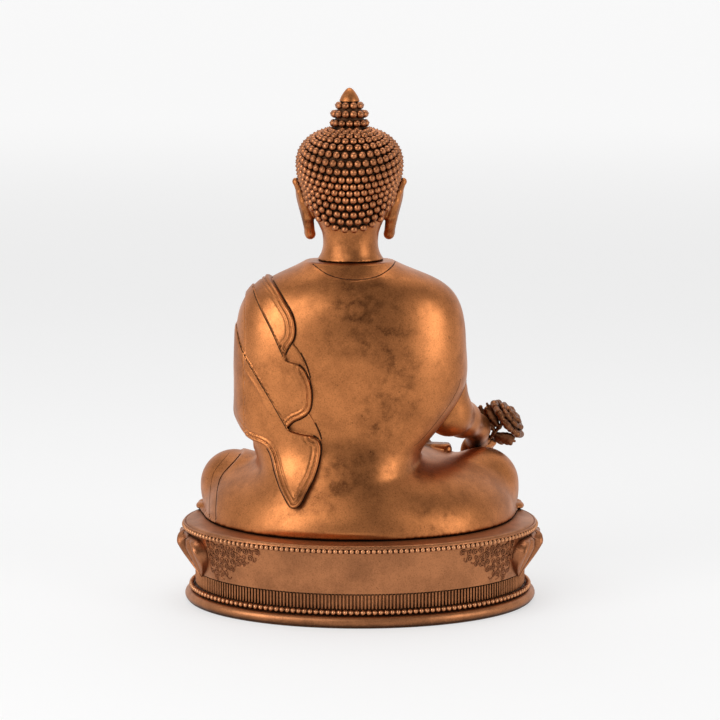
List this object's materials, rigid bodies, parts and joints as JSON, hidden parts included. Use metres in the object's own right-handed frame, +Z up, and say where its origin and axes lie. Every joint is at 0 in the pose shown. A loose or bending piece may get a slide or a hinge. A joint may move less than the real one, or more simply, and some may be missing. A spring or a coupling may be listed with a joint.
{
  "type": "buddha statue",
  "caption": "Seated cast-copper healing Buddha with bowl and plant sprig on an oval lotus base, built in pinned hollow sections with a removable sealing plate.",
  "frame": {"origin": "middle of the footprint, on the underside of the foot", "axes": "+Z up, along the figure; +X across the base to the figure's left hand; +Y out of the figure's back, so it faces -Y"},
  "size_m": [0.149, 0.1104, 0.21],
  "materials": {
    "base_copper": "oxidised copper, waxed satin",
    "petal_copper": "oxidised copper, darker in the recesses",
    "bead_copper": "oxidised copper, rubbed bright on the tops",
    "figure_copper": "oxidised copper, mottled satin",
    "hair_copper": "oxidised copper, dark between the curls",
    "sprig_copper": "dark oxidised copper",
    "plate_copper": "plain sheet copper, lightly tarnished",
    "pin_copper": "drawn copper rod"
  },
  "bodies": {
    "statue": {"lotus_base": "base_copper", "lotus_petal_band": "petal_copper", "upper_bead_wire": "bead_copper", "lower_bead_wire": "bead_copper", "body_casting": "figure_copper", "robe_shoulder_fold": "figure_copper", "head_casting": "hair_copper", "crown_jewel": "figure_copper", "neck_pin": "pin_copper", "right_arm": "figure_copper", "right_arm_pin": "pin_copper", "left_hand": "figure_copper", "left_hand_pin": "pin_copper", "tang_wedge_left": "pin_copper", "tang_wedge_right": "pin_copper"},
    "plate": {"sealing_plate": "plate_copper"},
    "bowl": {"medicine_bowl": "figure_copper", "bowl_fruit": "sprig_copper"},
    "sprig": {"sprig_stem": "sprig_copper", "sprig_flower": "sprig_copper", "sprig_leaf_upper": "sprig_copper", "sprig_leaf_lower": "sprig_copper"}
  },
  "joints": [
    {"name": "plate_drop", "type": "slide", "parent": "statue", "child": "plate", "axis": [0, 0, -1], "range_m": [0, 0.05]},
    {"name": "bowl_lift", "type": "slide", "parent": "statue", "child": "bowl", "axis": [0, 0, 1], "range_m": [0, 0.06]},
    {"name": "sprig_pull", "type": "slide", "parent": "statue", "child": "sprig", "axis": [-0.5823, 0.2147, 0.7841], "range_m": [0, 0.03]}
  ]
}
